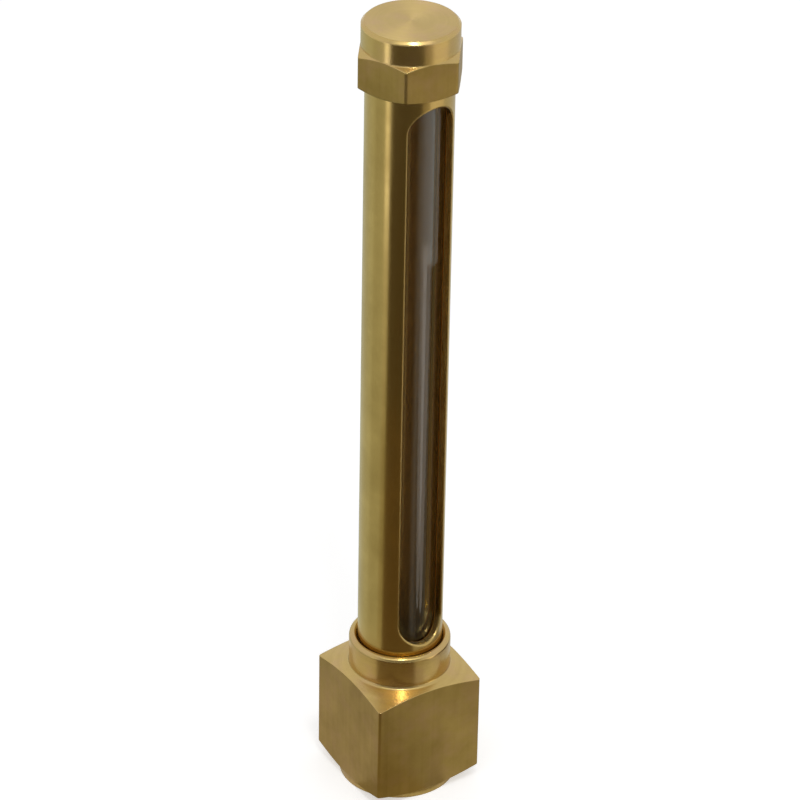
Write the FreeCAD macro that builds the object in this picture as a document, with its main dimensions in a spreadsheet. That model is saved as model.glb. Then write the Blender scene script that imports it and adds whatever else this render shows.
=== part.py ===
"""Brass column sight glass with a side pipe port.

A square elbow body carries a slotted brass shield, screwed into its collar. The shield guards a
glass tube that stands between two flat gaskets, and a hexagon cap screws over the top of the shield
and clamps the glass through a slip washer. Oil enters through the taper pipe thread at the back, and
air leaves through a filtered vent in the cap.

Frame: +Z up along the glass, origin at the centre of the foot, window towards -Y, pipe port towards
+Y. Millimetres.
"""
import math
import os

import FreeCAD, Part
import Sketcher
from FreeCAD import Placement, Rotation, Vector

# Driving sizes, in millimetres and degrees.
SIZES = {
    # glass tube
    "glass_od": 12.7,
    "glass_wall": 1.6,
    "glass_rim_round": 0.4,
    "glass_clearance": 0.2,
    # shield: a slotted tube with a thread at each end
    "shield_wall": 1.3875,
    "shield_end_chamfer": 0.3,
    "window_width": 9.525,
    "window_length": 111.8,
    "window_edge_break": 0.25,
    "window_turn": 4.0,
    # square body with turned ends and a round collar
    "bar_ledge": 1.5875,
    "bar_corner_round": 0.5,
    "foot_inset": 0.05,
    "foot_height": 1.3,
    "foot_slope": 18.5,
    "shoulder_height": 24.05,
    "shoulder_slope": 16.5,
    "collar_wall": 1.5875,
    "collar_height": 6.45,
    "collar_rim_round": 0.85,
    "collar_root_round": 0.6,
    "collar_mouth_gap": 0.2,
    "collar_mouth_depth": 0.9,
    "collar_mouth_chamfer": 0.4,
    "collar_socket_depth": 8.45,
    "gasket_pocket_depth": 2.0,
    "passage_dia": 6.0,
    # pipe port, 1/4-18 NPT
    "port_height": 11.3,
    "port_drill_dia": 11.112,
    "port_drill_past": 5.4,
    "port_drill_point": 31.0,
    "port_mouth_dia": 13.62,
    "port_mouth_chamfer": 0.3,
    "port_taper": 1.7899,
    "port_pitch": 1.4111,
    "port_root_flat": 0.14,
    "port_thread_length": 9.2,
    "port_relief": 1.1,
    # seals
    "gasket_thickness": 1.6,
    "gasket_bore_dia": 8.4,
    "gasket_edge_break": 0.1,
    "gasket_clearance": 0.1,
    "slip_washer_thickness": 0.8,
    "slip_washer_bore_dia": 6.4,
    "slip_washer_edge_break": 0.1,
    "slip_washer_recess": 0.3,
    # cap: hexagon below, round crown above
    "window_to_collar": 1.55,
    "window_to_cap": 2.1,
    "cap_wall": 0.79375,
    "cap_height": 11.65,
    "cap_crown_height": 4.6,
    "cap_crown_inset": 0.03,
    "cap_crown_chamfer": 0.55,
    "cap_corner_round": 0.7,
    "cap_hex_slope": 25.0,
    "cap_foot_inset": 0.1,
    "cap_turn": 53.6,
    "cap_roof": 3.8,
    "cap_mouth_gap": 0.15,
    "cap_mouth_depth": 0.9,
    "cap_end_gap": 0.6,
    # filtered vent in the cap's roof
    "vent_filter_dia": 8.0,
    "vent_filter_thickness": 0.9,
    "vent_chamber_dia": 6.8,
    "vent_chamber_height": 1.0,
    "vent_dia": 0.8,
    # shield threads, 27 to the inch, 60 degree flanks
    "thread_pitch": 0.9407,
    "thread_depth": 0.54,
    "thread_crest_flat": 0.118,
    "thread_clearance": 0.06,
    "thread_root_gap": 0.1,
    "thread_overcut": 0.05,
    "thread_relief": 1.1,
    "thread_half_angle": 30.0,
    # how far a cutting outline runs past the face it cuts
    "run_out": 1.0,
}

# Sizes that follow from the ones above, as sheet formulas.
DERIVED = {
    "glass_rad": "=glass_od / 2",
    "bore_rad": "=glass_rad + glass_clearance",
    "shield_rad": "=bore_rad + shield_wall",
    "seal_rad": "=bore_rad - gasket_clearance",
    "collar_rad": "=shield_rad + collar_wall",
    "bar_half": "=collar_rad + bar_ledge",
    "bar_reach": "=bar_half * 1.5",
    "foot_rad": "=bar_half - foot_inset",
    "collar_top": "=shoulder_height + collar_height",
    "shield_bottom": "=collar_top - collar_socket_depth",
    "seat_level": "=shield_bottom - gasket_pocket_depth",
    "glass_bottom": "=seat_level + gasket_thickness",
    "window_bottom": "=collar_top + window_to_collar",
    "window_top": "=window_bottom + window_length",
    "cap_bottom": "=window_top + window_to_cap",
    "cap_top": "=cap_bottom + cap_height",
    "crown_base": "=cap_top - cap_crown_height",
    "roof_level": "=cap_top - cap_roof",
    "rim_level": "=roof_level - slip_washer_recess",
    "shield_top": "=rim_level - cap_end_gap",
    "washer_bottom": "=roof_level - slip_washer_thickness",
    "glass_top": "=washer_bottom - gasket_thickness",
    "hex_half": "=shield_rad + cap_wall",
    "hex_reach": "=hex_half * 1.3",
    "crown_rad": "=hex_half - cap_crown_inset",
    "thread_root": "=shield_rad - thread_depth",
    "nut_crest": "=thread_root + thread_root_gap",
    "nut_root": "=shield_rad + thread_root_gap",
    "thread_slant": "=thread_depth * tan(thread_half_angle)",
    "nut_slant": "=thread_root_gap * tan(thread_half_angle)",
    "port_drill_rad": "=port_drill_dia / 2",
    "port_mouth_rad": "=port_mouth_dia / 2",
    "port_mouth": "=bar_half",
    "port_thread_end": "=port_mouth - port_thread_length",
    "port_plain_end": "=port_thread_end - port_relief",
}

# Two lengths closer than this count as the same when edges are picked.
SLACK = 0.01

doc = FreeCAD.newDocument("sight_glass")
sheet = doc.addObject("Spreadsheet::Sheet", "sizes")
for row, (alias, content) in enumerate([*SIZES.items(), *DERIVED.items()], start=1):
    sheet.set(f"A{row}", alias)
    sheet.set(f"B{row}", str(content))
    sheet.setAlias(f"B{row}", alias)
doc.recompute()


def bound(text):
    """The expression with every sheet alias in it written as sizes.alias."""
    words = []
    word = ""
    for letter in text + " ":
        if letter.isalnum() or letter in "_.":
            word += letter
            continue
        words.append(f"sizes.{word}" if word in SIZES or word in DERIVED else word)
        words.append(letter)
        word = ""
    return "".join(words).strip()


def number(text):
    """What an expression over the sheet comes to now."""
    return float(sheet.evalExpression(bound(text)))


# ----------------------------------------------------------------------------------- sketches, features
def new_body(label):
    """An empty body, named for its node."""
    body = doc.addObject("PartDesign::Body", label)
    body.Label = label
    body.Placement = Placement()
    return body


def new_sketch(body, name, plane="XZ_Plane", turn=None, lift=None):
    """A sketch on an origin plane of the body, turned about its own y axis or lifted along global Z."""
    sketch = body.newObject("Sketcher::SketchObject", name)
    support = next(feature for feature in body.Origin.OriginFeatures if feature.Role == plane)
    sketch.AttachmentSupport = [(support, "")]
    sketch.MapMode = "FlatFace"
    sketch.Visibility = False
    if turn:
        sketch.AttachmentOffset = Placement(Vector(), Rotation(Vector(0, 1, 0), number(turn)))
        sketch.setExpression("AttachmentOffset.Rotation.Angle", bound(turn))
    if lift:
        along = "z" if plane == "XY_Plane" else "y"
        sketch.setExpression(f"AttachmentOffset.Base.{along}", bound(lift))
    return sketch


def pin(sketch, geometry, point, x, y):
    """Ties a sketch point to two sheet expressions, measured from the sketch's origin."""
    for kind, text in (("DistanceX", x), ("DistanceY", y)):
        index = sketch.addConstraint(Sketcher.Constraint(kind, -1, 1, geometry, point, number(text)))
        sketch.setExpression(f"Constraints[{index}]", bound(text))


def set_radius(sketch, geometry, text):
    """Ties the radius of a circle or arc to a sheet expression."""
    index = sketch.addConstraint(Sketcher.Constraint("Radius", geometry, number(text)))
    sketch.setExpression(f"Constraints[{index}]", bound(text))


def outline(sketch, points):
    """A closed outline of straight lines through (x, y) pairs of sheet expressions."""
    corners = [Vector(number(x), number(y), 0) for x, y in points]
    first = sketch.GeometryCount
    for start, end in zip(corners, corners[1:] + corners[:1]):
        sketch.addGeometry(Part.LineSegment(start, end), False)
    for i, (x, y) in enumerate(points):
        following = first + (i + 1) % len(points)
        sketch.addConstraint(Sketcher.Constraint("Coincident", first + i, 2, following, 1))
        pin(sketch, first + i, 1, x, y)


def slot_outline(sketch, half_width, low, high):
    """An upright slot with full round ends, centred on the sketch's y axis."""
    w = number(half_width)
    z0 = number(low) + w
    z1 = number(high) - w
    upper = Part.Circle(Vector(0, z1, 0), Vector(0, 0, 1), w)
    lower = Part.Circle(Vector(0, z0, 0), Vector(0, 0, 1), w)
    sketch.addGeometry(Part.LineSegment(Vector(w, z0, 0), Vector(w, z1, 0)), False)
    sketch.addGeometry(Part.ArcOfCircle(upper, 0, math.pi), False)
    sketch.addGeometry(Part.LineSegment(Vector(-w, z1, 0), Vector(-w, z0, 0)), False)
    sketch.addGeometry(Part.ArcOfCircle(lower, math.pi, 2 * math.pi), False)
    for i in range(4):
        sketch.addConstraint(Sketcher.Constraint("Tangent", i, 2, (i + 1) % 4, 1))
    sketch.addConstraint(Sketcher.Constraint("Equal", 1, 3))
    pin(sketch, 1, 3, "0", f"{high} - {half_width}")
    pin(sketch, 3, 3, "0", f"{low} + {half_width}")
    set_radius(sketch, 1, half_width)


def turned(body, kind, name, points, plane="XZ_Plane", axis="V_Axis", lift=None):
    """An outline revolved about a sketch axis: kind is Revolution to add or Groove to cut."""
    sketch = new_sketch(body, f"{name}_profile", plane, lift=lift)
    outline(sketch, points)
    feature = body.newObject(f"PartDesign::{kind}", name)
    feature.Profile = sketch
    feature.ReferenceAxis = (sketch, [axis])
    feature.Angle = 360.0
    return feature


def helix_cut(body, name, points, pitch, height,
              plane="XZ_Plane", axis="V_Axis", lift=None, flare="0"):
    """A right-hand helical groove that starts at the outline and runs up the axis."""
    sketch = new_sketch(body, f"{name}_profile", plane, lift=lift)
    outline(sketch, points)
    cut = body.newObject("PartDesign::SubtractiveHelix", name)
    cut.Profile = sketch
    cut.ReferenceAxis = (sketch, [axis])
    cut.Mode = "pitch-height-angle"
    for prop, text in (("Pitch", pitch), ("Height", height), ("Angle", flare)):
        setattr(cut, prop, number(text))
        cut.setExpression(prop, bound(text))
    return cut


def dress(body, kind, name, text, chosen):
    """A Chamfer or Fillet of a sheet size on every edge of the body that chosen(edge) accepts."""
    doc.recompute()
    base = body.Tip
    edges = [f"Edge{i}" for i, edge in enumerate(base.Shape.Edges, start=1) if chosen(edge)]
    if not edges:
        raise RuntimeError(f"{body.Label}: no edge for {name}")
    feature = body.newObject(f"PartDesign::{kind}", name)
    feature.Base = (base, edges)
    prop = "Size" if kind == "Chamfer" else "Radius"
    feature.setExpression(prop, bound(text))
    return feature


def is_upright(edge):
    """Whether an edge starts off parallel to the glass."""
    return abs(edge.tangentAt(edge.FirstParameter).z) > 0.99


def is_ring(edge, radius, level):
    """Whether an edge is a full circle of this radius about the glass's axis at this height."""
    curve = edge.Curve
    if not isinstance(curve, Part.Circle):
        return False
    return abs(curve.Radius - number(radius)) < SLACK and abs(curve.Center.z - number(level)) < SLACK


def ring_piece(label, inner, outer, low, high, edge_break):
    """A turned ring with all four of its edges broken."""
    body = new_body(label)
    e = edge_break
    turned(body, "Revolution", f"{label}_ring", [
        (f"{inner} + {e}", low),
        (f"{outer} - {e}", low),
        (outer, f"{low} + {e}"),
        (outer, f"{high} - {e}"),
        (f"{outer} - {e}", high),
        (f"{inner} + {e}", high),
        (inner, f"{high} - {e}"),
        (inner, f"{low} + {e}"),
    ])
    return body


# --------------------------------------------------------------------------------------- shield threads
def screw_groove(centre):
    """Groove between two ridges of the shield's thread, open to just beyond its crest."""
    opening = "(thread_pitch - thread_crest_flat) / 2"
    wider = f"({opening} + thread_overcut * tan(thread_half_angle))"
    outside = "(shield_rad + thread_overcut)"
    return [
        ("thread_root", f"{centre} - ({opening} - thread_slant)"),
        (outside, f"{centre} - {wider}"),
        (outside, f"{centre} + {wider}"),
        ("thread_root", f"{centre} + ({opening} - thread_slant)"),
    ]


def nut_groove(centre):
    """Groove that takes a ridge of the shield's thread, with the thread clearance on each flank."""
    crest = "(thread_crest_flat / 2 + thread_clearance)"
    inside = "(nut_crest - thread_overcut)"
    wider = f"({crest} + (shield_rad - {inside}) * tan(thread_half_angle))"
    return [
        ("nut_root", f"{centre} - ({crest} - nut_slant)"),
        (inside, f"{centre} - {wider}"),
        (inside, f"{centre} + {wider}"),
        ("nut_root", f"{centre} + ({crest} - nut_slant)"),
    ]


# ----------------------------------------------------------------------------------------------- pieces
def make_elbow_body():
    """Square bar with a turned foot, shoulder and collar, a glass socket and a pipe port at the back."""
    body = new_body("elbow_body")
    bar = new_sketch(body, "bar_section", "XY_Plane")
    outline(bar, [
        ("-bar_half", "-bar_half"),
        ("bar_half", "-bar_half"),
        ("bar_half", "bar_half"),
        ("-bar_half", "bar_half"),
    ])
    block = body.newObject("PartDesign::Pad", "bar_block")
    block.Profile = bar
    block.setExpression("Length", bound("shoulder_height"))
    dress(body, "Fillet", "bar_corners", "bar_corner_round", is_upright)

    drop = "(bar_reach - collar_rad) * tan(shoulder_slope)"
    turned(body, "Groove", "shoulder_cone", [
        ("collar_rad", "shoulder_height"),
        ("bar_reach", f"shoulder_height - {drop}"),
        ("bar_reach", "shoulder_height + run_out"),
        ("collar_rad", "shoulder_height + run_out"),
    ])
    turned(body, "Groove", "foot_cone", [
        ("foot_rad", "-run_out"),
        ("bar_reach", "-run_out"),
        ("bar_reach", "foot_height + (bar_reach - foot_rad) * tan(foot_slope)"),
        ("foot_rad", "foot_height"),
    ])
    turned(body, "Revolution", "collar", [
        ("0", "shoulder_height - collar_wall"),
        ("collar_rad", "shoulder_height - collar_wall"),
        ("collar_rad", "collar_top"),
        ("0", "collar_top"),
    ])
    dress(body, "Fillet", "collar_rim", "collar_rim_round",
          lambda edge: is_ring(edge, "collar_rad", "collar_top"))
    dress(body, "Fillet", "collar_root", "collar_root_round",
          lambda edge: is_ring(edge, "collar_rad", "shoulder_height"))

    mouth = "(shield_rad + collar_mouth_gap)"
    mouth_floor = "collar_top - collar_mouth_depth"
    turned(body, "Groove", "glass_socket", [
        ("0", "collar_top + run_out"),
        (f"{mouth} + collar_mouth_chamfer", "collar_top + run_out"),
        (f"{mouth} + collar_mouth_chamfer", "collar_top"),
        (mouth, "collar_top - collar_mouth_chamfer"),
        (mouth, mouth_floor),
        ("nut_crest", f"{mouth_floor} - ({mouth} - nut_crest) * tan(thread_half_angle)"),
        ("nut_crest", "shield_bottom + thread_relief"),
        (mouth, "shield_bottom + thread_relief"),
        (mouth, "shield_bottom"),
        ("bore_rad", "shield_bottom"),
        ("bore_rad", "seat_level"),
        ("passage_dia / 2", "seat_level"),
        ("passage_dia / 2", "port_height"),
        ("0", "port_height"),
    ])
    helix_cut(body, "collar_thread", nut_groove("(shield_bottom + thread_relief / 2)"),
              "thread_pitch", "collar_socket_depth + thread_pitch")

    flare = "* tan(port_taper)"
    relief = f"(port_mouth_rad - port_thread_length {flare} + thread_overcut)"
    countersink = "(port_mouth_rad + port_mouth_chamfer)"
    sunk = f"({countersink} - port_drill_rad - port_thread_length {flare})"
    turned(body, "Groove", "pipe_port", [
        ("port_mouth + run_out", "0"),
        ("port_mouth + run_out", countersink),
        ("port_mouth", countersink),
        (f"port_mouth - {sunk}", f"port_drill_rad + (port_thread_length - {sunk}) {flare}"),
        ("port_thread_end", "port_drill_rad"),
        ("port_thread_end", relief),
        ("port_plain_end", relief),
        ("port_plain_end", "port_drill_rad"),
        ("-port_drill_past", "port_drill_rad"),
        ("-port_drill_past - port_drill_rad * tan(port_drill_point)", "0"),
    ], "YZ_Plane", "H_Axis", "port_height")
    start = "(port_thread_end - port_relief / 2)"
    inside = f"(port_drill_rad - port_relief / 2 {flare} - thread_overcut)"
    root = f"(port_mouth_rad - (port_thread_length + port_relief / 2) {flare})"
    half = f"(port_root_flat / 2 + ({root} - {inside}) * tan(thread_half_angle))"
    helix_cut(body, "port_thread", [
        (f"{start} - port_root_flat / 2", root),
        (f"{start} - {half}", inside),
        (f"{start} + {half}", inside),
        (f"{start} + port_root_flat / 2", root),
    ], "port_pitch", "port_thread_length + port_pitch",
        "YZ_Plane", "H_Axis", "port_height", "port_taper")
    return body


def make_window_shield():
    """Brass tube with a round-ended window and an outside thread at each end."""
    body = new_body("window_shield")
    lower_relief = "collar_top - collar_mouth_depth"
    upper_relief = "cap_bottom + cap_mouth_depth"
    edge = "shield_end_chamfer"
    turned(body, "Revolution", "shield_tube", [
        ("bore_rad", "shield_bottom"),
        (f"shield_rad - {edge}", "shield_bottom"),
        ("shield_rad", f"shield_bottom + {edge}"),
        ("shield_rad", f"{lower_relief} - thread_relief"),
        ("thread_root", f"{lower_relief} - thread_relief"),
        ("thread_root", lower_relief),
        ("shield_rad", lower_relief),
        ("shield_rad", upper_relief),
        ("thread_root", upper_relief),
        ("thread_root", f"{upper_relief} + thread_relief"),
        ("shield_rad", f"{upper_relief} + thread_relief"),
        ("shield_rad", f"shield_top - {edge}"),
        (f"shield_rad - {edge}", "shield_top"),
        ("bore_rad", "shield_top"),
    ])
    window = new_sketch(body, "window_outline", turn="window_turn")
    slot_outline(window, "window_width / 2", "window_bottom", "window_top")
    cut = body.newObject("PartDesign::Pocket", "window")
    cut.Profile = window
    cut.Reversed = True
    cut.setExpression("Length", bound("shield_rad + run_out"))
    dress(body, "Chamfer", "window_edge", "window_edge_break",
          lambda edge: on_cylinder(edge, "shield_rad") and inside_window(edge))

    start = "(shield_bottom + thread_relief / 2 - 1.5 * thread_pitch)"
    helix_cut(body, "lower_thread", screw_groove(start), "thread_pitch",
              f"{lower_relief} - thread_relief / 2 - {start}")
    start = f"({upper_relief} + thread_relief / 2)"
    helix_cut(body, "upper_thread", screw_groove(start), "thread_pitch",
              f"shield_top - {start} + thread_pitch")
    return body


def on_cylinder(edge, radius):
    """Whether both ends and the middle of an edge lie at this distance from the glass's axis."""
    middle = edge.valueAt((edge.FirstParameter + edge.LastParameter) / 2)
    points = [vertex.Point for vertex in edge.Vertexes] + [middle]
    return all(abs(Vector(p.x, p.y, 0).Length - number(radius)) < SLACK for p in points)


def inside_window(edge):
    """Whether an edge belongs to the window and not to an end of the tube."""
    box = edge.BoundBox
    return number("window_bottom") - SLACK < box.ZMin and box.ZMax < number("window_top") + SLACK


def make_glass_tube():
    """Straight glass tube with fire-polished rims, standing between the gaskets."""
    body = new_body("glass_tube")
    turned(body, "Revolution", "glass", [
        ("glass_rad - glass_wall", "glass_bottom"),
        ("glass_rad", "glass_bottom"),
        ("glass_rad", "glass_top"),
        ("glass_rad - glass_wall", "glass_top"),
    ])
    dress(body, "Fillet", "polished_rims", "glass_rim_round",
          lambda edge: isinstance(edge.Curve, Part.Circle))
    return body


def make_cap():
    """Hexagon cap with a turned crown, threaded inside, with a filter chamber and a vent at the back."""
    body = new_body("cap")
    hexagon = new_sketch(body, "hexagon_section", "XY_Plane", lift="cap_bottom")
    vertex = "hex_half / cos(30)"
    corners = [f"cap_turn + {60 * i}" for i in range(6)]
    outline(hexagon, [(f"{vertex} * cos({angle})", f"{vertex} * sin({angle})") for angle in corners])
    prism = body.newObject("PartDesign::Pad", "hexagon")
    prism.Profile = hexagon
    prism.setExpression("Length", bound("crown_base - cap_bottom"))
    dress(body, "Fillet", "hexagon_corners", "cap_corner_round", is_upright)

    turned(body, "Groove", "hexagon_shoulder", [
        ("crown_rad", "crown_base"),
        ("hex_reach", "crown_base - (hex_reach - crown_rad) * tan(cap_hex_slope)"),
        ("hex_reach", "crown_base + run_out"),
        ("crown_rad", "crown_base + run_out"),
    ])
    foot = "(hex_half - cap_foot_inset)"
    turned(body, "Groove", "hexagon_foot", [
        (foot, "cap_bottom - run_out"),
        ("hex_reach", "cap_bottom - run_out"),
        ("hex_reach", f"cap_bottom + (hex_reach - {foot}) * tan(cap_hex_slope)"),
        (foot, "cap_bottom"),
    ])
    turned(body, "Revolution", "crown", [
        ("0", "crown_base - cap_wall"),
        ("crown_rad", "crown_base - cap_wall"),
        ("crown_rad", "cap_top - cap_crown_chamfer"),
        ("crown_rad - cap_crown_chamfer", "cap_top"),
        ("0", "cap_top"),
    ])

    mouth = "(shield_rad + cap_mouth_gap)"
    mouth_top = "cap_bottom + cap_mouth_depth"
    filter_top = "roof_level + vent_filter_thickness"
    turned(body, "Groove", "threaded_bore", [
        ("0", "cap_bottom - run_out"),
        (mouth, "cap_bottom - run_out"),
        (mouth, mouth_top),
        ("nut_crest", f"{mouth_top} + ({mouth} - nut_crest) * tan(thread_half_angle)"),
        ("nut_crest", "rim_level - thread_relief"),
        (mouth, "rim_level - thread_relief"),
        (mouth, "rim_level"),
        ("bore_rad", "rim_level"),
        ("bore_rad", "roof_level"),
        ("vent_filter_dia / 2", "roof_level"),
        ("vent_filter_dia / 2", filter_top),
        ("vent_chamber_dia / 2", filter_top),
        ("vent_chamber_dia / 2", f"{filter_top} + vent_chamber_height"),
        ("0", f"{filter_top} + vent_chamber_height"),
    ])
    start = f"({mouth_top} + thread_relief / 2 - 1.5 * thread_pitch)"
    helix_cut(body, "cap_thread", nut_groove(start), "thread_pitch",
              f"rim_level - thread_relief / 2 - {start}")

    vent = new_sketch(body, "vent_outline", turn="cap_turn - 60")
    vent.addGeometry(Part.Circle(Vector(), Vector(0, 0, 1), number("vent_dia / 2")), False)
    pin(vent, 0, 3, "0", f"{filter_top} + vent_chamber_height / 2")
    set_radius(vent, 0, "vent_dia / 2")
    hole = body.newObject("PartDesign::Pocket", "vent_hole")
    hole.Profile = vent
    hole.setExpression("Length", bound("crown_rad + run_out"))
    return body


def make_vent_filter():
    """Sintered bronze disc pressed into the cap's roof."""
    body = new_body("vent_filter")
    turned(body, "Revolution", "filter_disc", [
        ("0", "roof_level"),
        ("vent_filter_dia / 2", "roof_level"),
        ("vent_filter_dia / 2", "roof_level + vent_filter_thickness"),
        ("0", "roof_level + vent_filter_thickness"),
    ])
    return body


def make_gasket(label, low, high):
    """Flat rubber ring that seals one end of the glass."""
    return ring_piece(label, "gasket_bore_dia / 2", "seal_rad", low, high, "gasket_edge_break")


def make_slip_washer():
    """Flat brass ring that keeps the turning cap off the upper gasket."""
    return ring_piece("slip_washer", "slip_washer_bore_dia / 2", "seal_rad", "washer_bottom",
                      "roof_level", "slip_washer_edge_break")


pieces = [
    make_elbow_body(),
    make_window_shield(),
    make_glass_tube(),
    make_gasket("lower_gasket", "seat_level", "glass_bottom"),
    make_gasket("upper_gasket", "glass_top", "washer_bottom"),
    make_slip_washer(),
    make_cap(),
    make_vent_filter(),
]
doc.recompute()

for item in doc.Objects:
    if "Invalid" in item.State or "Error" in item.State:
        raise RuntimeError(f"{item.Label} failed: {item.State}")

os.makedirs("parts", exist_ok=True)
for piece in pieces:
    shape = piece.Shape
    if shape.isNull() or not shape.isValid() or len(shape.Solids) != 1 or shape.Volume <= 0:
        raise RuntimeError(f"{piece.Label} is not one sound solid")
    shape.exportStep(f"parts/{piece.Label}.step")
    low, high = shape.BoundBox.ZMin, shape.BoundBox.ZMax
    print(f"{piece.Label}: {shape.Volume:.1f} mm3, {low:.2f} to {high:.2f} mm high")
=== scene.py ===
"""Looks for a brass column sight glass: brass, glass and rubber finishes, a plain studio and the camera."""
import math

import bpy
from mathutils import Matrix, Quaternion, Vector


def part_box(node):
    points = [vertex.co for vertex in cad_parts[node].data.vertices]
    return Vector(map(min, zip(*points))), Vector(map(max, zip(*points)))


bl_info = {
    "name": "Sight glass looks",
    "version": (1, 0, 0),
    "blender": (4, 5, 0),
    "location": "View3D > Sidebar > Sight glass",
    "description": "Finishes a brass column sight glass and sets up its studio",
    "category": "Object",
}

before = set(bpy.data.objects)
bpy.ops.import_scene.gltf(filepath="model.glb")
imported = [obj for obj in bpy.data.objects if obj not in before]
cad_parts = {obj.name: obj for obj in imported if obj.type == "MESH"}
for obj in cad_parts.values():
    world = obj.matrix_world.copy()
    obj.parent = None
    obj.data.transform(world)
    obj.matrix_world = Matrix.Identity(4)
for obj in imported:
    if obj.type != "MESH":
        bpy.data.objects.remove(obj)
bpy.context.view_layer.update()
MM = 0.001
_, BODY_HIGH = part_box("elbow_body")
_, CAP_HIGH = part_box("cap")
_, GLASS_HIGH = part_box("glass_tube")
HEIGHT = CAP_HIGH.z

FOOT_HEIGHT = 4.5 * MM  # the turned foot and its cone, as dull as the flats and darkened with their film and painted shade
CROWN_HEIGHT = 4.6 * MM  # the turned crown above the cap's hexagon
FLAT_DEEP = 0.4 * MM  # the bar's flats begin this far inside its outermost faces
FLAT_SHALLOW = 0.3 * MM  # and are full from here outwards
BORE_GAP = 0.25 * MM  # the shield's bore wall stands this far off the glass
LAMP_DISTANCE = 0.7
FLOOR_REACH = 1.5
FLOOR_GLOW = 0.5


# -------------------------------------------------------------------------------------------------- settings
class BrassSettings(bpy.types.PropertyGroup):
    """Colours and finish of the brass pieces."""

    bright: bpy.props.FloatVectorProperty(
        name="Bright brass", description="Colour of freshly cut or polished brass",
        subtype="COLOR", size=3, min=0, max=1, default=(0.66, 0.48, 0.18))
    dull: bpy.props.FloatVectorProperty(
        name="Dull brass", description="Colour of brass that has toned a little in storage",
        subtype="COLOR", size=3, min=0, max=1, default=(0.42, 0.29, 0.09))
    bore: bpy.props.FloatVectorProperty(
        name="Bore brown", description="Brown film left on the inside of the drawn tube",
        subtype="COLOR", size=3, min=0, max=1, default=(0.85, 0.40, 0.07))
    rosy: bpy.props.FloatVectorProperty(
        name="Rosy brass", description="Colour of the faint pink clouds on handled brass",
        subtype="COLOR", size=3, min=0, max=1, default=(0.62, 0.40, 0.24))
    tube_roughness: bpy.props.FloatProperty(
        name="Tube roughness", description="Roughness of the polished shield", min=0, max=1, default=0.17)
    turned_roughness: bpy.props.FloatProperty(
        name="Turned roughness", description="Roughness of the lathe-turned faces", min=0, max=1, default=0.2)
    face_roughness: bpy.props.FloatProperty(
        name="Face roughness", description="Roughness of the level, faced-off ends",
        min=0, max=1, default=0.3)
    ring_stretch: bpy.props.FloatProperty(
        name="Ring stretch", description="How far a faced-off end spreads light across its rings",
        min=0, max=1, default=0.75)
    flat_roughness: bpy.props.FloatProperty(
        name="Flat roughness", description="Roughness of the drawn bar's flats", min=0, max=1, default=0.38)
    # Darkens every upright flat: partly a dull film on the drawn bar, partly painted shade for the dim
    # surroundings that the flats reflect.
    flat_shade: bpy.props.FloatVectorProperty(
        name="Flat shade", description="Film that darkens the drawn bar's flats",
        subtype="COLOR", size=3, min=0, max=1, default=(0.62, 0.60, 0.50))
    edge_round: bpy.props.FloatProperty(
        name="Edge rounding", description="How far the light rolls over a broken edge",
        subtype="DISTANCE", unit="LENGTH", min=0, default=0.18 * MM)
    lip_round: bpy.props.FloatProperty(
        name="Lip rounding", description="The same on the cap and round the window, which are worn more",
        subtype="DISTANCE", unit="LENGTH", min=0, default=0.4 * MM)


class GlassSettings(bpy.types.PropertyGroup):
    """Colour and refraction of the glass tube."""

    tint: bpy.props.FloatVectorProperty(
        name="Tint", description="Colour that the glass gives to light passing through it",
        subtype="COLOR", size=3, min=0, max=1, default=(0.97, 0.985, 0.975))
    ior: bpy.props.FloatProperty(
        name="Refraction", description="Refractive index of borosilicate glass", min=1, max=2, default=1.474)


class StudioSettings(bpy.types.PropertyGroup):
    """Lamps, floor and reflector cards around the gauge."""

    world_level: bpy.props.FloatProperty(
        name="World level", description="How brightly the room lights matt faces", min=0, default=0.48)
    room_level: bpy.props.FloatProperty(
        name="Room level", description="How bright brass and glass see the room", min=0, default=0.8)
    camera_side: bpy.props.FloatProperty(
        name="Camera side", description="How bright they see the room behind the camera", min=0, default=0.28)
    floor_white: bpy.props.FloatProperty(
        name="Floor white", description="Whiteness of the table", min=0, max=1, default=0.9)
    key_power: bpy.props.FloatProperty(
        name="Overhead lamps", description="Power of the panel above the camera, which the small lamp follows",
        subtype="POWER", min=0, default=0.7)
    back_power: bpy.props.FloatProperty(
        name="Back lamp", description="Power of the strip lamp behind", subtype="POWER", min=0, default=0.045)
    card_grey: bpy.props.FloatProperty(
        name="Cards", description="Brightness of the cards that the brass reflects", min=0, default=0.5)


class CameraSettings(bpy.types.PropertyGroup):
    """Where the camera stands, measured round the gauge's axis."""

    azimuth: bpy.props.FloatProperty(
        name="Azimuth", description="Camera's bearing from the window, towards the right",
        subtype="ANGLE", unit="ROTATION", default=math.radians(-32.13))
    elevation: bpy.props.FloatProperty(
        name="Elevation", description="Camera's height as an angle", subtype="ANGLE", unit="ROTATION",
        default=math.radians(31.39))
    distance: bpy.props.FloatProperty(
        name="Distance", description="From the aim point to the camera",
        subtype="DISTANCE", unit="LENGTH", min=0.1, default=0.7703)
    aim_height: bpy.props.FloatProperty(
        name="Aim height", description="Height of the aim point",
        subtype="DISTANCE", unit="LENGTH", default=0.0812)
    aim_side: bpy.props.FloatProperty(
        name="Aim offset", description="How far the aim point lies to the camera's right of the axis",
        subtype="DISTANCE", unit="LENGTH", default=-0.00075)
    roll: bpy.props.FloatProperty(
        name="Roll", description="How far the camera is tipped about its own axis",
        subtype="ANGLE", unit="ROTATION", default=math.radians(1.034))
    lens: bpy.props.FloatProperty(
        name="Focal length", description="Lens on a 36 mm sensor",
        subtype="DISTANCE_CAMERA", min=10, default=191.4)


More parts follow.
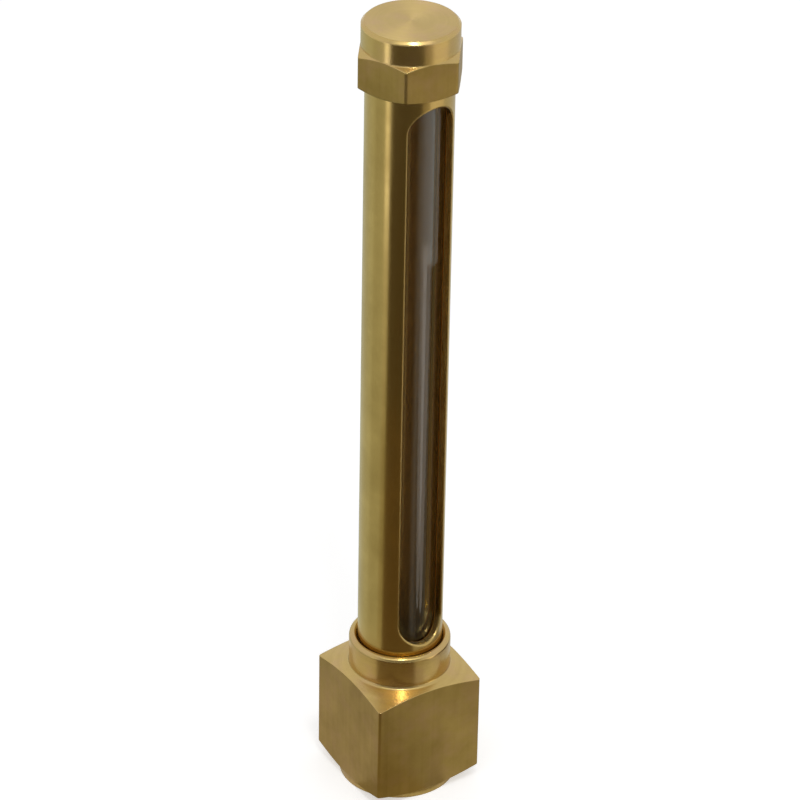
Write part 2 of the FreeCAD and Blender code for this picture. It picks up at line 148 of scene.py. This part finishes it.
# ----------------------------------------------------------------------------------------------- node helper
class Tree:
    """Adds nodes to a shader tree and joins them."""

    def __init__(self, tree):
        self.tree = tree

    def node(self, kind, settings=None, **inputs):
        made = self.tree.nodes.new(kind)
        for key, value in (settings or {}).items():
            setattr(made, key, value)
        for key, value in inputs.items():
            self.feed(made, key.replace("_", " "), value)
        return made

    def feed(self, made, key, value):
        socket = made.inputs[int(key)] if key.isdigit() else made.inputs[key]
        if isinstance(value, bpy.types.NodeSocket):
            self.tree.links.new(value, socket)
        else:
            socket.default_value = value

    def math(self, operation, *values, clamp=False):
        made = self.node("ShaderNodeMath", {"operation": operation, "use_clamp": clamp})
        for i, value in enumerate(values):
            self.feed(made, str(i), value)
        return made.outputs[0]

    def mix(self, factor, a, b, blend_type="MIX"):
        made = self.node("ShaderNodeMix", {"data_type": "RGBA", "blend_type": blend_type})
        for i, value in ((0, factor), (6, a), (7, b)):
            self.feed(made, str(i), value)
        return made.outputs[2]

    def blend(self, factor, a, b):
        made = self.node("ShaderNodeMix", {"data_type": "FLOAT"})
        for i, value in ((0, factor), (2, a), (3, b)):
            self.feed(made, str(i), value)
        return made.outputs[0]

    def step(self, value, low, high):
        """0 below low, 1 above high and even in between."""
        made = self.node("ShaderNodeMapRange", Value=value)
        for i, bound in ((1, low), (2, high)):
            self.feed(made, str(i), bound)
        return made.outputs[0]


def new_group(name, inputs, outputs):
    """An empty shader node group with float inputs {name: default} and float outputs."""
    group = bpy.data.node_groups.new(name, "ShaderNodeTree")
    for label, default in inputs.items():
        socket = group.interface.new_socket(label, in_out="INPUT", socket_type="NodeSocketFloat")
        socket.default_value = default
    for label in outputs:
        group.interface.new_socket(label, in_out="OUTPUT", socket_type="NodeSocketFloat")
    tree = Tree(group)
    entry = group.nodes.new("NodeGroupInput")
    leave = group.nodes.new("NodeGroupOutput")
    return group, tree, entry.outputs, leave.inputs


def object_place(tree):
    """Sockets for a point's x, y, z and distance from the gauge's axis."""
    place = tree.node("ShaderNodeTexCoord").outputs["Object"]
    parts = tree.node("ShaderNodeSeparateXYZ", Vector=place).outputs
    flat = tree.node("ShaderNodeVectorMath", {"operation": "MULTIPLY"})
    tree.feed(flat, "0", place)
    flat.inputs[1].default_value = (1, 1, 0)
    radius = tree.node("ShaderNodeVectorMath", {"operation": "LENGTH"})
    tree.feed(radius, "0", flat.outputs[0])
    return place, parts[0], parts[1], parts[2], radius.outputs["Value"]


def level_ness(tree):
    """How far a face looks up or down: 0 on an upright wall, 1 on a level face."""
    normal = tree.node("ShaderNodeTexCoord").outputs["Normal"]
    return tree.math("ABSOLUTE", tree.node("ShaderNodeSeparateXYZ", Vector=normal).outputs[2])


def upright_wall(tree):
    """1 on upright walls, 0 on slopes and level faces."""
    return tree.math("SUBTRACT", 1.0, tree.step(level_ness(tree), 0.1, 0.2))


def lathe_marks_group():
    """Fine rings left by a turning tool, round the axis on walls and concentric on faces."""
    group, tree, given, out = new_group("Lathe marks", {"Pitch": 0.12 * MM, "Waver": 0.3}, ["Height", "Tone"])
    place, _, _, z, radius = object_place(tree)
    along = tree.blend(tree.step(level_ness(tree), 0.5, 0.75), z, radius)
    waver = tree.node("ShaderNodeTexNoise", Vector=place, Scale=120.0, Detail=2.0).outputs[0]
    turns = tree.math("DIVIDE", along, given["Pitch"])
    turns = tree.math("MULTIPLY_ADD", waver, given["Waver"], turns)
    line = {"noise_dimensions": "1D"}
    fine = tree.node("ShaderNodeTexNoise", line, W=turns, Scale=1.0, Detail=3.0, Roughness=0.7)
    coarse_turns = tree.math("MULTIPLY", turns, 0.13)
    coarse = tree.node("ShaderNodeTexNoise", line, W=coarse_turns, Scale=1.0, Detail=2.0)
    tree.tree.links.new(fine.outputs[0], out["Height"])
    tree.tree.links.new(coarse.outputs[0], out["Tone"])
    return group


def drawn_grain_group():
    """Long hair lines from the drawing die, running up the bar or tube."""
    group, tree, given, out = new_group("Drawn grain", {"Line width": 0.15 * MM, "Line length": 12 * MM},
                                        ["Height", "Tone"])
    _, x, y, z, _ = object_place(tree)
    across_x = tree.math("DIVIDE", x, given["Line width"])
    across_y = tree.math("DIVIDE", y, given["Line width"])
    along = tree.math("DIVIDE", z, given["Line length"])
    place = tree.node("ShaderNodeCombineXYZ", X=across_x, Y=across_y, Z=along).outputs[0]
    fine = tree.node("ShaderNodeTexNoise", Vector=place, Scale=1.0, Detail=3.0, Roughness=0.6)
    wide = tree.node("ShaderNodeTexNoise", Vector=place, Scale=0.17, Detail=2.0)
    tree.tree.links.new(fine.outputs[0], out["Height"])
    tree.tree.links.new(wide.outputs[0], out["Tone"])
    return group


def tarnish_group():
    """Soft cloudy patches where brass has toned in storage."""
    group, tree, given, out = new_group("Tarnish", {"Size": 6 * MM, "Cover": 0.5}, ["Mask", "Specks"])
    place = object_place(tree)[0]
    scale = tree.math("DIVIDE", 1.0, given["Size"])
    cloud = tree.node("ShaderNodeTexNoise", Vector=place, Scale=scale, Detail=5.0, Roughness=0.6).outputs[0]
    low = tree.math("SUBTRACT", 0.85, given["Cover"])
    high = tree.math("ADD", low, 0.35)
    tree.tree.links.new(tree.step(cloud, low, high), out["Mask"])
    dots = tree.node("ShaderNodeTexNoise", Vector=place, Scale=tree.math("MULTIPLY", scale, 9.0), Detail=3.0)
    tree.tree.links.new(tree.step(dots.outputs[0], 0.66, 0.74), out["Specks"])
    return group


def use_group(tree, name, **inputs):
    """One shared group placed in a material, with this material's own values."""
    made = tree.node("ShaderNodeGroup", {"node_tree": bpy.data.node_groups[name]})
    for key, value in inputs.items():
        tree.feed(made, key.replace("_", " "), value)
    return made.outputs


def empty_material(name):
    """A node material without nodes, and its tree."""
    material = bpy.data.materials.new(name)
    material.use_nodes = True
    material.node_tree.nodes.clear()
    return material, Tree(material.node_tree)


def new_material(name):
    """A node material with a Principled shader on its output."""
    material, tree = empty_material(name)
    shader = tree.node("ShaderNodeBsdfPrincipled")
    tree.node("ShaderNodeOutputMaterial", Surface=shader.outputs[0])
    return material, tree, shader


def finish_node(node, material):
    """Gives a CAD node its material."""
    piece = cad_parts[node]
    piece.data.materials.clear()
    piece.data.materials.append(material)


def rounded_normal(tree, edge_round):
    """A normal that rolls over each edge by that distance."""
    return tree.node("ShaderNodeBevel", {"samples": 6}, Radius=edge_round).outputs[0]


def brass_material(name, flats, edge_round=None):
    """Brass with turned faces, and with the flats' drawn grain, film and painted shade where flats(tree) is 1.
    """
    brass = bpy.context.scene.sight_glass_brass
    material, tree, shader = new_material(name)
    flat = flats(tree)
    marks = use_group(tree, "Lathe marks", Pitch=0.11 * MM, Waver=0.4)
    grain = use_group(tree, "Drawn grain")
    tarnish = use_group(tree, "Tarnish", Size=7 * MM, Cover=0.5)
    bright = (*brass.bright, 1)
    dull = (*brass.dull, 1)
    tone = tree.blend(flat, marks["Tone"], grain["Tone"])
    toned = tree.math("MULTIPLY_ADD", tone, 0.5, tree.math("MULTIPLY", tarnish["Mask"], 0.5), clamp=True)
    colour = tree.mix(tree.blend(flat, tree.math("MULTIPLY", toned, 0.5), toned), bright, dull)
    clouds = use_group(tree, "Tarnish", Size=4.5 * MM, Cover=0.4)["Mask"]
    colour = tree.mix(tree.math("MULTIPLY", clouds, 0.6), colour, (*brass.rosy, 1))
    # The flats are multiplied by the film colour, which is partly a dull film and partly painted shade.
    colour = tree.mix(flat, colour, (*brass.flat_shade, 1), "MULTIPLY")
    rough = tree.blend(flat, brass.turned_roughness, brass.flat_roughness)
    rough = tree.math("MULTIPLY_ADD", tarnish["Mask"], 0.06, rough)
    height = tree.blend(flat, marks["Height"], grain["Height"])
    bump = tree.node("ShaderNodeBump", Strength=0.35, Distance=0.008 * MM, Height=height,
                     Normal=rounded_normal(tree, edge_round or brass.edge_round))
    ringed = tree.step(level_ness(tree), 0.97, 0.99)
    tree.feed(shader, "Base Color", colour)
    tree.feed(shader, "Roughness", tree.blend(ringed, rough, brass.face_roughness))
    tree.feed(shader, "Anisotropic", tree.math("MULTIPLY", ringed, brass.ring_stretch))
    rings = tree.node("ShaderNodeTangent", {"direction_type": "RADIAL", "axis": "Z"})
    tree.feed(shader, "Tangent", rings.outputs[0])
    tree.feed(shader, "Normal", bump.outputs[0])
    shader.inputs["Anisotropic Rotation"].default_value = 0.25
    shader.inputs["Metallic"].default_value = 1.0
    return material


# ------------------------------------------------------------------------------------------- piece operators
class SIGHTGLASS_OT_effects(bpy.types.Operator):
    """Build the shared shader effects"""

    bl_idname = "sight_glass.effects"
    bl_label = "Build shared effects"

    def execute(self, context):
        lathe_marks_group()
        drawn_grain_group()
        tarnish_group()
        return {"FINISHED"}


class SIGHTGLASS_OT_elbow_body(bpy.types.Operator):
    """Finish the square elbow body: drawn flats, turned collar, shoulder and foot"""

    bl_idname = "sight_glass.elbow_body"
    bl_label = "Finish elbow body"

    def execute(self, context):
        half = BODY_HIGH.x

        def flats(tree):
            _, x, y, z, _ = object_place(tree)
            reach = tree.math("MAXIMUM", tree.math("ABSOLUTE", x), tree.math("ABSOLUTE", y))
            on_bar = tree.step(reach, half - FLAT_DEEP, half - FLAT_SHALLOW)
            foot = tree.math("LESS_THAN", z, FOOT_HEIGHT)
            return tree.math("MAXIMUM", foot, tree.math("MULTIPLY", on_bar, upright_wall(tree)))

        finish_node("elbow_body", brass_material("body brass", flats))
        return {"FINISHED"}


class SIGHTGLASS_OT_shield(bpy.types.Operator):
    """Finish the window shield: polished outside, brown inside"""

    bl_idname = "sight_glass.shield"
    bl_label = "Finish window shield"

    def execute(self, context):
        brass = context.scene.sight_glass_brass
        material, tree, shader = new_material("shield brass")
        bore_radius = GLASS_HIGH.x + BORE_GAP
        radius = object_place(tree)[4]
        inside = tree.math("SUBTRACT", 1.0, tree.step(radius, bore_radius, bore_radius + 0.05 * MM))
        grain = use_group(tree, "Drawn grain", Line_width=0.35 * MM, Line_length=25 * MM)
        tarnish = use_group(tree, "Tarnish", Size=9 * MM, Cover=0.5)
        patches = tree.math("MULTIPLY", tarnish["Mask"], 0.5)
        toned = tree.math("MULTIPLY_ADD", grain["Tone"], 0.35, patches, clamp=True)
        colour = tree.mix(toned, (*brass.bright, 1), (*brass.dull, 1))
        colour = tree.mix(inside, colour, (*brass.bore, 1))
        rough = tree.math("MULTIPLY_ADD", tarnish["Mask"], 0.07, brass.tube_roughness)
        rough = tree.blend(inside, rough, 0.45)
        bump = tree.node("ShaderNodeBump", Strength=0.25, Distance=0.006 * MM, Height=grain["Height"],
                         Normal=rounded_normal(tree, brass.lip_round))
        tree.feed(shader, "Base Color", colour)
        tree.feed(shader, "Roughness", rough)
        tree.feed(shader, "Normal", bump.outputs[0])
        tree.feed(shader, "Metallic", tree.blend(inside, 1.0, 0.2))
        finish_node("window_shield", material)
        return {"FINISHED"}


class SIGHTGLASS_OT_glass(bpy.types.Operator):
    """Finish the glass tube"""

    bl_idname = "sight_glass.glass"
    bl_label = "Finish glass tube"

    def execute(self, context):
        glass = context.scene.sight_glass_glass
        material, tree, shader = new_material("clear glass")
        smears = use_group(tree, "Tarnish", Size=5 * MM, Cover=0.4)
        shader.inputs["Base Color"].default_value = (*glass.tint, 1)
        shader.inputs["IOR"].default_value = glass.ior
        shader.inputs["Transmission Weight"].default_value = 1.0
        tree.feed(shader, "Roughness", tree.math("MULTIPLY", smears["Mask"], 0.03))
        finish_node("glass_tube", material)
        return {"FINISHED"}


class SIGHTGLASS_OT_seals(bpy.types.Operator):
    """Finish the rubber gaskets, the slip washer and the vent filter"""

    bl_idname = "sight_glass.seals"
    bl_label = "Finish seals and filter"

    def execute(self, context):
        rubber, tree, shader = new_material("black rubber")
        bloom = use_group(tree, "Tarnish", Size=3 * MM, Cover=0.45)
        colour = tree.mix(bloom["Mask"], (0.018, 0.018, 0.019, 1), (0.045, 0.043, 0.042, 1))
        tree.feed(shader, "Base Color", colour)
        tree.feed(shader, "Roughness", tree.math("MULTIPLY_ADD", bloom["Mask"], 0.15, 0.5))
        finish_node("lower_gasket", rubber)
        finish_node("upper_gasket", rubber)
        finish_node("slip_washer", brass_material("washer brass", lambda tree: 0.0))

        bronze, tree, shader = new_material("sintered bronze")
        place = object_place(tree)[0]
        grains = tree.node("ShaderNodeTexVoronoi", Vector=place, Scale=1 / (0.3 * MM)).outputs["Distance"]
        # The colour darkens from each grain's middle towards the gaps between grains: painted shade in the
        # pores.
        tree.feed(shader, "Base Color", tree.mix(grains, (0.50, 0.31, 0.16, 1), (0.12, 0.07, 0.04, 1)))
        bump = tree.node("ShaderNodeBump", {"invert": True}, Strength=1.0, Distance=0.1 * MM, Height=grains)
        tree.feed(shader, "Normal", bump.outputs[0])
        shader.inputs["Roughness"].default_value = 0.5
        shader.inputs["Metallic"].default_value = 1.0
        finish_node("vent_filter", bronze)
        return {"FINISHED"}


class SIGHTGLASS_OT_cap(bpy.types.Operator):
    """Finish the cap: bright turned crown and satin hexagon flats"""

    bl_idname = "sight_glass.cap"
    bl_label = "Finish cap"

    def execute(self, context):
        crown_base = CAP_HIGH.z - CROWN_HEIGHT

        def flats(tree):
            below = tree.math("LESS_THAN", object_place(tree)[3], crown_base)
            return tree.math("MULTIPLY", below, upright_wall(tree))

        lip_round = context.scene.sight_glass_brass.lip_round
        finish_node("cap", brass_material("cap brass", flats, lip_round))
        return {"FINISHED"}


# ----------------------------------------------------------------------------------------------------- stage
# Where the cards begin and end, in metres from the axis.
START = 0.0115
NEAR = 0.05
MIDDLE = 0.14
SHADE = 0.2
FAR = 0.6
# Reflector cards: name, first and last bearing from the camera's in degrees, inner and outer radius, and
# their colour as a share of the cards' brightness setting. Upright brass mirrors them as light and dark bands.
CARDS = (
    ("left near card", -180, -47, START, NEAR, (1.4, 1.28, 1.0)),
    ("left card", -180, -95, NEAR, FAR, (1.16, 1.23, 1.02)),
    ("left side card", -95, -60, NEAR, FAR, (1.0, 1.03, 0.82)),
    ("left edge low card", -60, -47, NEAR, MIDDLE, (0.8, 0.75, 0.5)),
    ("left edge card", -60, -47, MIDDLE, 0.225, (1.1, 1.08, 0.85)),
    ("left strip card", -60, -51, 0.235, FAR, (3.0, 3.0, 2.9)),
    ("front near card", -47, 33, START, 0.043, (0.9, 0.75, 0.45)),
    ("front card", -47, 33, 0.043, MIDDLE, (0.28, 0.19, 0.08)),
    ("front far card", -47, 33, MIDDLE, FAR, (0.18, 0.14, 0.075)),
    ("right edge near card", 33, 52, START, NEAR, (1.0, 0.93, 0.75)),
    ("right edge card", 33, 52, NEAR, FAR, (0.8, 0.7, 0.5)),
    ("right near card", 52, 95, START, NEAR, (1.5, 1.45, 1.25)),
    ("right dark card", 52, 125, NEAR, SHADE, (0.35, 0.28, 0.17)),
    ("right far card", 52, 95, SHADE, FAR, (1.7, 1.6, 1.4)),
    ("right back near card", 95, 180, START, NEAR, (1.2, 1.2, 1.1)),
    ("right back card", 125, 180, NEAR, SHADE, (1.2, 1.2, 1.1)),
    ("right back far card", 95, 180, SHADE, FAR, (1.2, 1.2, 1.1)),
)


def aim_point(view):
    """The camera's aim point."""
    side = Vector((math.cos(view.azimuth), math.sin(view.azimuth), 0))
    return side * view.aim_side + Vector((0, 0, view.aim_height))


def bearing(azimuth, elevation):
    """Unit vector from the gauge towards an azimuth and an elevation, in radians."""
    return Vector((math.sin(azimuth) * math.cos(elevation), -math.cos(azimuth) * math.cos(elevation),
                   math.sin(elevation)))


def seen_ray(tree):
    """1 for rays from the camera and for those that metal or glass sends on."""
    path = tree.node("ShaderNodeLightPath").outputs
    sent_on = tree.math("MAXIMUM", path["Is Glossy Ray"], path["Is Transmission Ray"])
    return tree.math("MAXIMUM", path["Is Camera Ray"], sent_on)


def place_camera(context):
    """The camera at its bearing, aimed and rolled."""
    view = context.scene.sight_glass_camera
    data = bpy.data.cameras.new("camera")
    camera = bpy.data.objects.new("camera", data)
    context.scene.collection.objects.link(camera)
    back = bearing(view.azimuth, view.elevation)
    camera.location = aim_point(view) + back * view.distance
    turn = (-back).to_track_quat("-Z", "Y")
    camera.rotation_mode = "QUATERNION"
    camera.rotation_quaternion = turn @ Quaternion((0, 0, 1), view.roll)
    data.lens = view.lens
    data.sensor_width = 36
    data.clip_start = 0.05
    data.clip_end = 20
    context.scene.camera = camera


def add_lamp(context, name, azimuth, elevation, width, height, power):
    """A soft lamp aimed at the middle of the gauge. Azimuth is from the camera's own bearing."""
    data = bpy.data.lights.new(name, "AREA")
    data.shape = "RECTANGLE"
    data.size = width
    data.size_y = height
    data.energy = power
    lamp = bpy.data.objects.new(name, data)
    context.scene.collection.objects.link(lamp)
    away = bearing(context.scene.sight_glass_camera.azimuth + math.radians(azimuth), math.radians(elevation))
    lamp.location = Vector((0, 0, HEIGHT / 2)) + away * LAMP_DISTANCE
    lamp.rotation_euler = (-away).to_track_quat("-Z", "Y").to_euler()


def add_card(context, name, start, end, inner, outer, colour, taper=1.0, lift=0.5 * MM):
    """A fan-shaped card low round the gauge, which only reflections and refractions see.

    Angles are from the camera's bearing. The inner end is as wide as the outer one's angle times the taper.
    """
    mesh = bpy.data.meshes.new(name)
    camera_azimuth = math.degrees(context.scene.sight_glass_camera.azimuth)
    steps = max(2, round((end - start) / 4))
    middle = (start + end) / 2
    points = []
    for i in range(steps + 1):
        off = (end - start) * (i / steps - 0.5)
        points.append(bearing(math.radians(camera_azimuth + middle + off * taper), 0) * inner)
        points.append(bearing(math.radians(camera_azimuth + middle + off), 0) * outer)
    faces = [(2 * i, 2 * i + 1, 2 * i + 3, 2 * i + 2) for i in range(steps)]
    mesh.from_pydata([p + Vector((0, 0, lift)) for p in points], [], faces)
    card = bpy.data.objects.new(name, mesh)
    context.scene.collection.objects.link(card)
    material, tree = empty_material(name)
    glow = tree.node("ShaderNodeEmission", Color=(*colour, 1))
    tree.node("ShaderNodeOutputMaterial", Surface=glow.outputs[0])
    mesh.materials.append(material)
    card.visible_camera = False
    card.visible_diffuse = False
    card.visible_shadow = False


def build_world(scene):
    """A room of even light, dimmer towards the camera's side, that the camera itself sees as white."""
    studio = scene.sight_glass_studio
    view = scene.sight_glass_camera
    world = bpy.data.worlds.new("studio")
    world.use_nodes = True
    world.node_tree.nodes.clear()
    tree = Tree(world.node_tree)
    towards = tree.node("ShaderNodeVectorMath", {"operation": "DOT_PRODUCT"})
    tree.feed(towards, "0", tree.node("ShaderNodeTexCoord").outputs["Generated"])
    towards.inputs[1].default_value = bearing(view.azimuth, view.elevation)
    camera_side = tree.step(towards.outputs["Value"], 0.6, 0.9)
    room = tree.blend(camera_side, studio.room_level, studio.camera_side)
    level = tree.blend(seen_ray(tree), studio.world_level, room)
    level = tree.blend(tree.node("ShaderNodeLightPath").outputs["Is Camera Ray"], level, 1.0)
    back = tree.node("ShaderNodeBackground", Color=(1, 1, 1, 1), Strength=level)
    tree.node("ShaderNodeOutputWorld", Surface=back.outputs[0])
    scene.world = world


def build_floor(scene):
    """A matt white table that keeps the shadow and glows a little for seen rays."""
    mesh = bpy.data.meshes.new("floor")
    reach = FLOOR_REACH
    mesh.from_pydata([(-reach, -reach, 0), (reach, -reach, 0), (reach, reach, 0), (-reach, reach, 0)], [],
                     [(0, 1, 2, 3)])
    floor = bpy.data.objects.new("floor", mesh)
    scene.collection.objects.link(floor)
    material, tree = empty_material("pale floor")
    white = scene.sight_glass_studio.floor_white
    matt = tree.node("ShaderNodeBsdfDiffuse", Color=(white, white, white, 1))
    glow = tree.node("ShaderNodeEmission", Strength=tree.math("MULTIPLY", seen_ray(tree), FLOOR_GLOW))
    both = tree.node("ShaderNodeAddShader")
    tree.feed(both, "0", matt.outputs[0])
    tree.feed(both, "1", glow.outputs[0])
    tree.node("ShaderNodeOutputMaterial", Surface=both.outputs[0])
    mesh.materials.append(material)


class SIGHTGLASS_OT_stage(bpy.types.Operator):
    """Set up the floor, world, lamps, reflector cards and camera"""

    bl_idname = "sight_glass.stage"
    bl_label = "Set up studio"

    def execute(self, context):
        scene = context.scene
        studio = scene.sight_glass_studio
        scene.view_settings.view_transform = "Standard"
        place_camera(context)
        build_world(scene)
        build_floor(scene)
        add_lamp(context, "overhead panel", 6, 62, 0.8, 0.22, studio.key_power)
        add_lamp(context, "overhead lamp", 11, 64, 0.085, 0.085, 0.8 * studio.key_power)
        add_lamp(context, "back strip lamp", -177, 48, 0.03, 0.25, studio.back_power)
        grey = studio.card_grey
        for name, start, end, inner, outer, tone in CARDS:
            add_card(context, name, start, end, inner, outer, [grey * part for part in tone])
        streak = (2.9 * grey, 2.65 * grey, 2.3 * grey)
        add_card(context, "streak card", 54, 84, 0.06, 0.21, streak, taper=0.2, lift=1.0 * MM)
        return {"FINISHED"}


OPERATORS = (SIGHTGLASS_OT_effects, SIGHTGLASS_OT_elbow_body, SIGHTGLASS_OT_shield, SIGHTGLASS_OT_glass,
             SIGHTGLASS_OT_seals, SIGHTGLASS_OT_cap, SIGHTGLASS_OT_stage)
SETTINGS = {"sight_glass_brass": BrassSettings, "sight_glass_glass": GlassSettings,
            "sight_glass_studio": StudioSettings, "sight_glass_camera": CameraSettings}


class SIGHTGLASS_PT_looks(bpy.types.Panel):
    """Panel that lists the sight glass's settings and steps"""

    bl_idname = "SIGHTGLASS_PT_looks"
    bl_label = "Sight glass"
    bl_space_type = "VIEW_3D"
    bl_region_type = "UI"
    bl_category = "Sight glass"

    def draw(self, context):
        for name, group in SETTINGS.items():
            box = self.layout.box()
            for prop in group.__annotations__:
                box.prop(getattr(context.scene, name), prop)
        for operator in OPERATORS:
            self.layout.operator(operator.bl_idname)


def register():
    for group in SETTINGS.values():
        bpy.utils.register_class(group)
    for name, group in SETTINGS.items():
        setattr(bpy.types.Scene, name, bpy.props.PointerProperty(type=group))
    for operator in OPERATORS:
        bpy.utils.register_class(operator)
    bpy.utils.register_class(SIGHTGLASS_PT_looks)


def unregister():
    bpy.utils.unregister_class(SIGHTGLASS_PT_looks)
    for operator in reversed(OPERATORS):
        bpy.utils.unregister_class(operator)
    for name, group in SETTINGS.items():
        delattr(bpy.types.Scene, name)
        bpy.utils.unregister_class(group)


def main():
    """Registers the add-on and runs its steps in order."""
    register()
    for operator in OPERATORS:
        group, name = operator.bl_idname.split(".")
        getattr(getattr(bpy.ops, group), name)()


if __name__ == "__main__":
    main()
